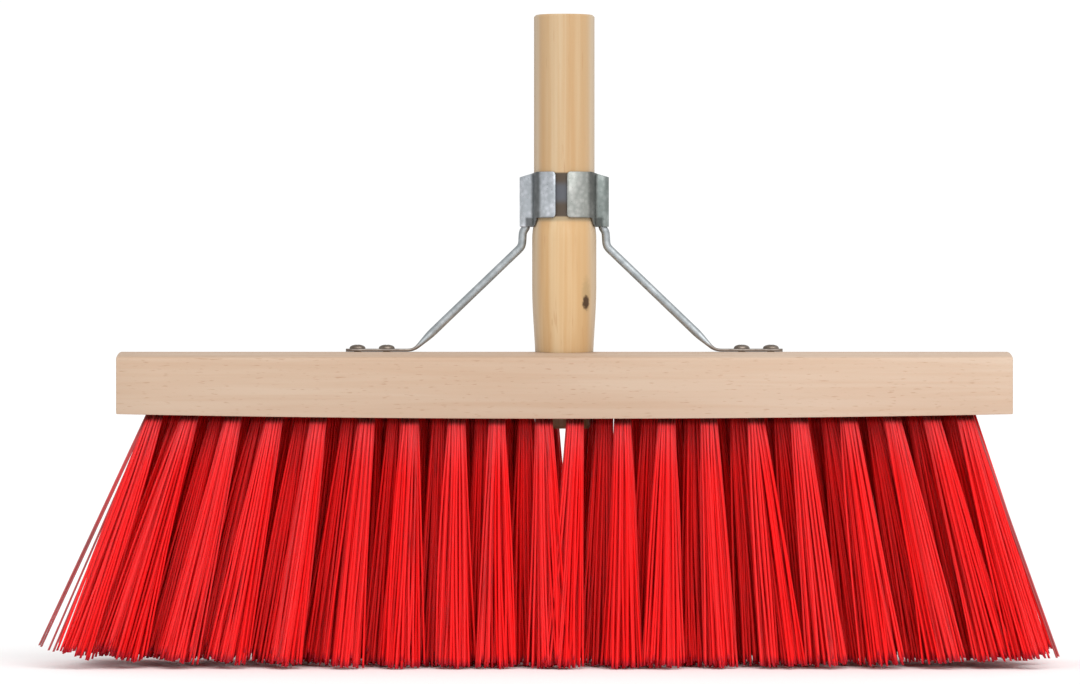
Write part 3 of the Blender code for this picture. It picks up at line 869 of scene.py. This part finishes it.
def hexagonPiece(name, low, high, paint):
    # A hexagon bar whose corners are turned down, as on a machined head or nut.
    bm = bmesh.new()
    corner = bolt["flats"] / 2 / math.cos(30 * degree)
    addPost(bm, 6, corner, high - low)
    turned = Matrix.Rotation(30 * degree, 3, "Z")
    bmesh.ops.rotate(bm, verts=bm.verts, cent=(0, 0, 0), matrix=turned)
    move(bm, bm.verts, 0, 0, (low + high) / 2)
    piece = finishMesh(name, bm, [paint])
    flat = bolt["flats"] / 2 * bolt["turnedShare"]
    fall = (corner - flat) * math.tan(30 * degree)
    wide = corner * bolt["latheOver"]
    profile = [(0, low), (flat, low), (wide, low + fall), (wide, high - fall), (flat, high), (0, high)]
    carve(piece, finishMesh("lathe", turn(profile, bolt["latheSides"]), [paint]), "INTERSECT")
    return piece


def threadProfile(low, high):
    # The ridges of a screw thread as turned rings.
    groove = bolt["radius"] - bolt["threadDepth"]
    count = int((high - low) / bolt["pitch"])
    profile = []
    for ridge in range(count):
        base = low + ridge * bolt["pitch"]
        profile.append((groove, base))
        profile += [(bolt["radius"], base + bolt["pitch"] * share) for share in bolt["crest"]]
    return profile + [(groove, low + count * bolt["pitch"])]


def finishOnBolt(piece, edge, node):
    editMesh(piece, layOnBolt)
    softenEdges(piece, edge, 1, bolt["sharp"])
    editMesh(piece, weld)
    dress(piece, "zinc", node)


def buildBolt(paint):
    underHead = boltLow.x + bolt["headHeight"]
    piece = hexagonPiece("hex_bolt", boltLow.x, underHead, paint)
    radius = bolt["radius"]
    inside = underHead - bolt["chamfer"]
    plainEnd = underHead + bolt["plainShank"]
    tip = boltHigh.x
    profile = [(0, inside), (radius, inside), (radius, plainEnd)]
    profile += threadProfile(plainEnd, tip - bolt["chamfer"])
    profile += [(radius - bolt["chamfer"], tip), (0, tip)]
    carve(piece, finishMesh("shank", turn(profile, bolt["sides"]), [paint]), "UNION")
    finishOnBolt(piece, bolt["headEdge"], "clamp_bolt")


def buildNut(paint):
    start = bolt["grip"]
    end = start + bolt["nutHeight"]
    piece = hexagonPiece("hex_nut", start, end, paint)
    bore = bolt["radius"] + bolt["boreGap"]
    wide = bore + bolt["sink"]
    deep = bolt["sinkDepth"]
    before = start - bolt["overrun"]
    after = end + bolt["overrun"]
    profile = [(0, before), (wide, before), (wide, start), (bore, start + deep),
               (bore, end - deep), (wide, end), (wide, after), (0, after)]
    carve(piece, finishMesh("bore", turn(profile, bolt["sides"]), [paint]))
    finishOnBolt(piece, bolt["nutEdge"], "clamp_nut")


# Stays

stay = {
    "topInset": 1.5 * mm,
    "knee": 19.5 * mm,
    "kneeDrop": 13 * mm,
    "jog": (0.25 * mm, 0.38 * mm),  # a little lower than the ears and nearer than the knee
    "jogDrop": 6.2 * mm,
    "heel": 69.5 * mm,
    "jogRadius": 2 * mm,
    "kneeRadius": 4 * mm,
    "heelRadius": 6 * mm,
    "footWidth": 9 * mm,
    "footThickness": 1.4 * mm,
    "footGap": 0.05 * mm,
    "flattenLength": 9 * mm,
    "flattenPast": 1 * mm,
    "squareness": 0.4,
    "sharp": 50,
    "toeRings": 9,
    "sides": 24,
    "ringStep": 1 * mm,
    "holeRadius": 2 * mm,
    "holeCut": 6 * mm,
    "brown": (5 * mm, 1.5 * mm),  # above the head's top
}


def stayRoute(toe, footMiddle):
    lower, nearer = stay["jog"]
    route = roundedPath([
        (rodAxis, clampTop - stay["topInset"] - clamp["topDrop"], 0),
        (rodAxis, clampFoot - clamp["footDrop"] - lower, stay["jogRadius"]),
        (stay["knee"] - nearer, clampFoot - stay["jogDrop"], stay["jogRadius"]),
        (stay["knee"], clampFoot - stay["kneeDrop"], stay["kneeRadius"]),
        (stay["heel"], footMiddle, stay["heelRadius"]),
        (toe - stay["footWidth"] / 2, footMiddle, 0),
    ])
    return smoothPath(evenPath(route, stay["ringStep"]), 1)


def buildStay(side, paint):
    name = "stay_" + sideOf(side)
    nodeLow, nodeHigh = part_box(name)
    toe = max(abs(nodeLow.x), abs(nodeHigh.x))
    footMiddle = headTop + stay["footGap"] + stay["footThickness"] / 2
    route = stayRoute(toe, footMiddle)
    rod = clamp["rod"] / 2
    toeRadius = stay["footWidth"] / 2
    toeStart = toe - toeRadius
    for ring in range(1, stay["toeRings"]):
        angle = 90 * degree * ring / stay["toeRings"]
        route.append(Vector((toeStart + toeRadius * math.sin(angle), footMiddle)))
    bm = bmesh.new()
    rings = []
    for index, point in enumerate(route):
        ahead = (route[min(index + 1, len(route) - 1)] - route[max(index - 1, 0)]).normalized()
        flat = easeBetween(point.x, stay["heel"] - stay["flattenLength"],
                           stay["heel"] + stay["flattenPast"])
        width = rod + (toeRadius - rod) * flat
        if point.x > toeStart:
            width = math.sqrt(max(toeRadius ** 2 - (point.x - toeStart) ** 2, 0))
        thick = rod + (stay["footThickness"] / 2 - rod) * flat
        power = 1 + (stay["squareness"] - 1) * flat
        made = bmesh.ops.create_circle(bm, segments=stay["sides"], radius=1)["verts"]
        for vert in made:
            across = math.copysign(abs(vert.co.x) ** power, vert.co.x) * width
            up = math.copysign(abs(vert.co.y) ** power, vert.co.y) * thick
            vert.co = (side * (point.x - ahead.y * up), across, point.y + ahead.x * up)
        rings.append(list({edge for vert in made for edge in vert.link_edges}))
    for one, two in zip(rings, rings[1:]):
        bmesh.ops.bridge_loops(bm, edges=one + two)
    bmesh.ops.holes_fill(bm, edges=rings[0] + rings[-1], sides=stay["sides"])
    piece = finishMesh(name + "_rod", bm, [paint])
    carve(piece, footHoleCutter(side, paint))
    piece.data.set_sharp_from_angle(angle=stay["sharp"] * degree)
    dress(piece, "zinc", name)


def footHoleCutter(side, paint):
    bm = bmesh.new()
    for place in ("inner", "outer"):
        middle = screwPlace(sideOf(side), place)
        post = addPost(bm, stay["sides"], stay["holeRadius"], stay["holeCut"])
        move(bm, post, middle.x, middle.y, headTop)
    return finishMesh("foot hole cutter", bm, [paint])


def screwPlace(side, place):
    low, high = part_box("foot_screw_{}_{}".format(side, place))
    return (low + high) / 2


# Screws

screw = {
    "head": 3.7 * mm,
    "headHeight": 1.9 * mm,
    "rim": 0.3 * mm,
    "domeStep": 15,
    "domeSteps": 6,
    "shank": 1.65 * mm,
    "plainShank": 2 * mm,
    "threadDepth": 0.35 * mm,
    "pitch": 1.4 * mm,
    "point": 3 * mm,
    "slotLength": 4.4 * mm,
    "slotWidth": 0.95 * mm,
    "slotDepth": 1.3 * mm,
    "slotTaper": 0.3,
    "sides": 32,
    "turn": 24,  # degrees between one screw's cross and the next
}


def buildScrew(side, place, twist, paint):
    name = "foot_screw_{}_{}".format(side, place)
    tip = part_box(name)[0].z
    seat = headTop + stay["footGap"] + stay["footThickness"]
    top = seat + screw["headHeight"]
    rim = screw["rim"]
    angles = [step * screw["domeStep"] * degree for step in range(screw["domeSteps"])]
    dome = [(screw["head"] * math.cos(angle),
             seat + rim + (screw["headHeight"] - rim) * math.sin(angle)) for angle in angles]
    profile = [(0, top)] + dome[::-1] + [(screw["head"], seat), (screw["shank"], seat)]
    groove = screw["shank"] - screw["threadDepth"]
    ridge = seat - screw["plainShank"]
    while ridge > tip + screw["point"]:
        profile += [(screw["shank"], ridge), (groove, ridge - screw["pitch"] / 3),
                    (groove, ridge - screw["pitch"] * 2 / 3)]
        ridge -= screw["pitch"]
    profile.append((0, tip))
    piece = finishMesh(name + "_round", turn(profile, screw["sides"]), [paint], sharpAngle=40)
    carve(piece, crossCutter(top, twist, paint))
    middle = screwPlace(side, place)
    editMesh(piece, lambda bm: move(bm, bm.verts, middle.x, middle.y, 0))
    dress(piece, "zinc", name)


def crossCutter(top, twist, paint):
    # Two crossed bars that taper downwards, joined into one cutter.
    bars = []
    for quarter in (0, 90):
        bm = bmesh.new()
        made = bmesh.ops.create_cube(bm, size=1)["verts"]
        size = (screw["slotLength"], screw["slotWidth"], 2 * screw["slotDepth"])
        bmesh.ops.scale(bm, verts=made, vec=size)
        for vert in made:
            if vert.co.z < 0:
                vert.co.x *= screw["slotTaper"]
        turned = Matrix.Rotation((twist + quarter) * degree, 3, "Z")
        bmesh.ops.rotate(bm, verts=made, cent=(0, 0, 0), matrix=turned)
        move(bm, made, 0, 0, top)
        bars.append(finishMesh("bar", bm, [paint]))
    carve(bars[0], bars[1], "UNION")
    return bars[0]


# Bristles

bristles = {
    "rows": 5,
    "rowPitch": 11 * mm,
    "longRow": 20,
    "tuftPitch": 19.7 * mm,
    "slack": 0.01,  # of a pitch, for rounding
    "wander": (0.4, -3.4, -3.3, -4.4, -4.0, -1.6, -1.7, -0.3, -1.3, 0.4,
               -4.9, -2.8, -2.4, -2.9, -1.4, -1.1, 1.8, 1.5, 0, -4.6),  # of the holes, in mm
    "wanderShare": (1, 1, 0, 0.5, 0.3),  # how far each row follows that, and
    "rowShift": (0, 2.9, 1, -2, 2.9),  # what is added to it, in mm
    "lastHole": 185.3 * mm,  # no tuft is set further right than this,
    "bareRadius": 12.5 * mm,  # nor so near the handle
    "fibres": 52,
    "fibreRadius": 0.55 * mm,
    "fibreSides": 5,
    "fibreCuts": 6,
    "rootDepth": 2.5 * mm,
    "rootRadius": 3.55 * mm,
    "tipRadius": 8.8 * mm,
    "straightHalf": 45 * mm,  # tufts nearer the middle than this don't splay
    "splay": {"left": 0.245, "right": 0.22},
    "ownRise": {"left": 1, "right": 0.3},  # how much each fibre's own slant lifts its tip
    "depthSplay": 0.72,
    "lean": 5 * mm,  # the middle tufts lean together by this
    "leanSpan": 22 * mm,
    "clumps": 4,
    "clumpStray": 1.3 * mm,
    "tipStray": 0.9 * mm,
    "bow": 0.7 * mm,
    "tuftStray": 1.2 * mm,
    "raggedness": 2.2 * mm,
    "tipGap": 0.2 * mm,  # above the floor
    "clumpShade": 0.6,  # the rest of a fibre's shade is its own
    "strays": {  # tips of loose grey fibres at the two ends
        "left": ((-239.8, 10.5), (-239, 9.8), (-235.6, 8.2), (-233.4, 7.6)),
        "right": ((225.6, 5.4), (224.8, 4.8)),
    },
    "strayPitch": 0.8 * mm,  # between their roots
    "strayDepth": 1.5,
    "seed": 41,
}

fibreFacts = ("shade", "reach", "inner")  # what the shader knows of a fibre


def drilledAt(row, along):
    # The holes wander a little from their even places, much the same way in each row.
    place = along / bristles["tuftPitch"] + (bristles["longRow"] - 1) / 2
    before = min(int(place + bristles["slack"]), bristles["longRow"] - 2)
    share = place - before
    wander = bristles["wander"][before] * (1 - share) + bristles["wander"][before + 1] * share
    moved = along + (wander * bristles["wanderShare"][row] + bristles["rowShift"][row]) * mm
    return min(moved, bristles["lastHole"])


def rowTufts(row):
    count = bristles["longRow"] - row % 2
    depth = (row - (bristles["rows"] - 1) / 2) * bristles["rowPitch"]
    places = [(index - (count - 1) / 2) * bristles["tuftPitch"] for index in range(count)]
    return [(drilledAt(row, along), depth) for along in places
            if math.hypot(along, depth) > bristles["bareRadius"]]


def tuftPlaces():
    return [place for row in range(bristles["rows"]) for place in rowTufts(row)]


def tuftDrift(along):
    # How far a tuft's tips lie from its hole, along the head.
    share = bristles["splay"][sideOf(along)]
    outward = math.copysign(max(abs(along) - bristles["straightHalf"], 0) * share, along)
    inward = -math.copysign(bristles["lean"] * math.exp(-(along / bristles["leanSpan"]) ** 2), along)
    return outward + inward


def tipHeight(tuftDrifts, fibreDrift):
    # Fibres of one length, fanned, end in a shallow arc.
    own = (fibreDrift - tuftDrifts) * bristles["ownRise"][sideOf(tuftDrifts)]
    drift = tuftDrifts + own
    length = undersideAt(headHigh.x)
    return length * (1 - math.cos(math.atan(drift / length)))


def fibreTemplate(bm):
    # One fibre, a unit long and a unit in radius, cut into rings.
    post = addPost(bm, bristles["fibreSides"], 1, 1)
    move(bm, post, 0, 0, -0.5)
    upright = [edge for edge in bm.edges if abs(edge.verts[0].co.z - edge.verts[1].co.z) > 0.5]
    bmesh.ops.subdivide_edges(bm, edges=upright, cuts=bristles["fibreCuts"])
    return bm.verts[:] + bm.edges[:] + bm.faces[:]


def layFibre(bm, template, layers, root, tip, bow, shade, inner, slot=0):
    copied = bmesh.ops.duplicate(bm, geom=template)["geom"]
    radius = bristles["fibreRadius"]
    for face in only(bmesh.types.BMFace, copied):
        face.material_index = slot
    for vert in only(bmesh.types.BMVert, copied):
        share = -vert.co.z
        swing = math.sin(math.pi * share)
        vert[layers[0]] = shade
        vert[layers[1]] = share
        vert[layers[2]] = inner
        vert.co = (root.x + (tip.x - root.x) * share + bow.x * swing + vert.co.x * radius,
                   root.y + (tip.y - root.y) * share + bow.y * swing + vert.co.y * radius,
                   root.z + (tip.z - root.z) * share)


def plantTuft(bm, template, layers, along, depth, dice):
    def stray(name):
        return dice.gauss(0, bristles[name])

    inner = 1 - abs(depth) / (bristles["rowPitch"] * (bristles["rows"] - 1) / 2)
    drift = tuftDrift(along) + stray("tuftStray")
    tuftTip = Vector((along + drift, depth * (1 + bristles["depthSplay"])))
    clumps = [Vector((stray("clumpStray"), stray("clumpStray"), dice.random()))
              for clump in range(bristles["clumps"])]
    golden = math.pi * (3 - math.sqrt(5))
    start = dice.uniform(0, 2 * math.pi)
    for fibre in range(bristles["fibres"]):
        out = math.sqrt((fibre + 0.5) / bristles["fibres"])
        angle = start + fibre * golden
        aside = Vector((math.cos(angle), math.sin(angle))) * out
        clump = clumps[int((angle % (2 * math.pi)) / (2 * math.pi) * bristles["clumps"])]
        root = Vector((along + aside.x * bristles["rootRadius"],
                       depth + aside.y * bristles["rootRadius"],
                       undersideAt(along) + bristles["rootDepth"]))
        tip = Vector((tuftTip.x + aside.x * bristles["tipRadius"] + clump.x + stray("tipStray"),
                      tuftTip.y + aside.y * bristles["tipRadius"] + clump.y + stray("tipStray"), 0))
        tip.z = tipHeight(drift, tip.x - along) + abs(stray("raggedness")) + bristles["tipGap"]
        bow = Vector((stray("bow"), stray("bow")))
        shade = bristles["clumpShade"] * clump.z + (1 - bristles["clumpShade"]) * dice.random()
        layFibre(bm, template, layers, root, tip, bow, shade, inner)


def buildBristleRow(row, paints):
    dice = random.Random(bristles["seed"] + row)
    bm = bmesh.new()
    layers = [bm.verts.layers.float.new(name) for name in fibreFacts]
    template = fibreTemplate(bm)
    tufts = rowTufts(row)
    for along, depth in tufts:
        plantTuft(bm, template, layers, along, depth, dice)
    if row == 0:
        for (along, depth), side in ((tufts[0], "left"), (tufts[-1], "right")):
            for index, (tipX, tipZ) in enumerate(bristles["strays"][side]):
                aside = bristles["rootRadius"] - index * bristles["strayPitch"]
                root = Vector((along + math.copysign(aside, along), depth,
                               undersideAt(along) + bristles["rootDepth"]))
                tip = Vector((tipX * mm, depth * bristles["strayDepth"], tipZ * mm))
                layFibre(bm, template, layers, root, tip, Vector((0, 0)), 0, 0, 1)
    bmesh.ops.delete(bm, geom=only(bmesh.types.BMVert, template), context="VERTS")
    piece = finishMesh("bristles_{}".format(row + 1), bm, paints, sharpAngle=80, turnOut=False)
    nodes = ["bristle_row_{}".format(row + 1)]
    if row == bristles["rows"] // 2:
        nodes.append(nodes[0] + "_right")
    dress(piece, "red_bristle", *nodes)
    print("bristle row", row + 1, "with", len(tufts), "tufts and", len(piece.data.polygons), "faces")


red = {
    "deep": tone(241, 12, 14),
    "bright": tone(243, 48, 50),
    "inner": tone(232, 0, 0),  # painted shade on the rows inside, towards their roots
    # painted sheen near the roots; also the scuffs' colour and the loose fibres' paler tone
    "root": tone(220, 66, 70),
    "loose": tone(112, 92, 92),
    # painted shadow of the head on the fibres' roots
    "underShadow": tone(66, 12, 4),
    "tip": tone(112, 10, 34),
    "rootSheenSpread": (0.28, 0.02, 0, 0.7),  # along the fibre, from root 0 to tip 1
    "underShadowSpread": (0.056, 0.034, 0, 0.9),
    "innerShadeSpread": (0.8, 0.15, 0, 0.75),
    "tipSpread": (0.965, 1, 0, 0.75),
    "scuffSize": (900, 900, 90),
    "scuffs": (0.55, 0.75, 0, 0.15),
    "looseSize": 60,
    "bump": 0.05 * mm,
    "relief": 0.4,
    "roughness": 0.48,
    "softness": 0.6,  # light goes a little way into the plastic
    "softReach": 2 * mm,
}


def redFibre():
    material, tree, shader = startMaterial(
        "red fibre", Roughness=red["roughness"], Specular_IOR_Level=0.12,
        Subsurface_Weight=red["softness"], Subsurface_Radius=(1, 0.1, 0.1),
        Subsurface_Scale=red["softReach"])
    shade, reach, inner = [addNode(tree, "Attribute", {"attribute_name": name}).outputs["Fac"]
                           for name in fibreFacts]
    colour = blend(tree, shade, red["deep"], red["bright"])
    # Painted sheen near the roots.
    colour = blend(tree, spread(tree, reach, *red["rootSheenSpread"]), colour, red["root"])
    colour = blend(tree, spread(tree, reach, *red["tipSpread"]), colour, red["tip"])
    scuffs = noise(tree, red["scuffSize"], detail=2)
    colour = blend(tree, spread(tree, scuffs, *red["scuffs"]), colour, red["root"])
    # Painted shadow of the head on the roots.
    colour = blend(tree, spread(tree, reach, *red["underShadowSpread"]), colour, red["underShadow"])
    # Painted shade on the rows inside, fading towards the tips.
    innerShade = times(tree, inner, spread(tree, reach, *red["innerShadeSpread"]))
    colour = blend(tree, innerShade, colour, red["inner"])
    tree.links.new(colour, shader.inputs["Base Color"])
    addBump(tree, shader, scuffs, red["bump"], red["relief"])
    return material


def looseFibre():
    material, tree, shader = startMaterial("loose fibre", Roughness=0.6, Specular_IOR_Level=0.2)
    dirty = noise(tree, red["looseSize"], detail=2)
    tree.links.new(blend(tree, dirty, red["loose"], red["root"]), shader.inputs["Base Color"])
    return material


# Studio

studio = {
    "pixelsPerMetre": 2188,
    "imageWidth": 1080,
    "imageHeight": 684,
    "axisPixel": (564.5, 668),  # where the handle's axis meets the floor in the picture
    "lens": 200,  # millimetres, as Blender's camera has it
    "floorHalf": 40,
    "floorDark": tone(247, 247, 247),
    "floorPale": tone(250, 250, 250),
    "mottleSize": 3,
    "skyFill": 0.72,
    "skyShown": 1.05,
    "sunStrength": 2.15,
    "sunTurn": (48, 0, 18),  # degrees from straight down, and to the right
    "sunAngle": 60,
}


def placeCamera():
    camera = bpy.data.cameras.new("camera")
    camera.lens = studio["lens"]
    holder = addObject("camera", camera)
    perMetre = studio["pixelsPerMetre"]
    distance = studio["imageWidth"] / perMetre * camera.lens / camera.sensor_width
    holder.location = (
        (studio["imageWidth"] / 2 - studio["axisPixel"][0]) / perMetre,
        headLow.y - distance,
        (studio["axisPixel"][1] - studio["imageHeight"] / 2) / perMetre,
    )
    holder.rotation_euler = (90 * degree, 0, 0)
    bpy.context.scene.camera = holder


def lightRoom():
    # The room shows white and lights the broom softly from all round.
    world = bpy.data.worlds.new("room")
    world.use_nodes = True
    bpy.context.scene.world = world
    tree = world.node_tree
    seen = addNode(tree, "LightPath").outputs["Is Camera Ray"]
    strength = spread(tree, seen, 0, 1, studio["skyFill"], studio["skyShown"])
    tree.links.new(strength, tree.nodes["Background"].inputs["Strength"])
    tree.nodes["Background"].inputs["Color"].default_value = tone(255, 255, 255)
    sun = bpy.data.lights.new("key", "SUN")
    sun.energy = studio["sunStrength"]
    sun.angle = studio["sunAngle"] * degree
    lamp = addObject("key", sun)
    lamp.rotation_euler = [angle * degree for angle in studio["sunTurn"]]
    bpy.context.scene.view_settings.view_transform = "Standard"


def layFloor():
    bm = bmesh.new()
    bmesh.ops.create_grid(bm, x_segments=8, y_segments=8, size=studio["floorHalf"])
    material, tree, shader = startMaterial("floor", Roughness=0.9, Specular_IOR_Level=0.1)
    mottle = noise(tree, studio["mottleSize"], detail=2)
    colour = blend(tree, mottle, studio["floorDark"], studio["floorPale"])
    tree.links.new(colour, shader.inputs["Base Color"])
    floor = finishMesh("floor", bm, [material])


def main():
    placeCamera()
    lightRoom()
    layFloor()
    print("studio")
    hole = tuftHole()
    buildHead(beechSide(), woodEnd("beech end", beech, 0), hole)
    buildHandle(pineSide(), woodEnd("pine end", pine, 2))
    sheetPaint = zincSurface("zinc sheet", zinc, clampValleyShade)
    rodPaint = zincSurface("zinc rod", rodZinc, footTones=footZinc)
    screwPaint = zincSurface("screw zinc", screwZinc)
    for way in (-1, 1):
        buildClampHalf(way, sheetPaint)
    print("clamp halves")
    buildBolt(rodPaint)
    buildNut(rodPaint)
    print("bolt and nut")
    for way in (-1, 1):
        buildStay(way, rodPaint)
    print("stays")
    twist = 0
    for side in ("left", "right"):
        for place in ("inner", "outer"):
            buildScrew(side, place, twist, screwPaint)
            twist += screw["turn"]
    print("screws")
    fibrePaints = [redFibre(), looseFibre()]
    for row in range(bristles["rows"]):
        buildBristleRow(row, fibrePaints)


main()
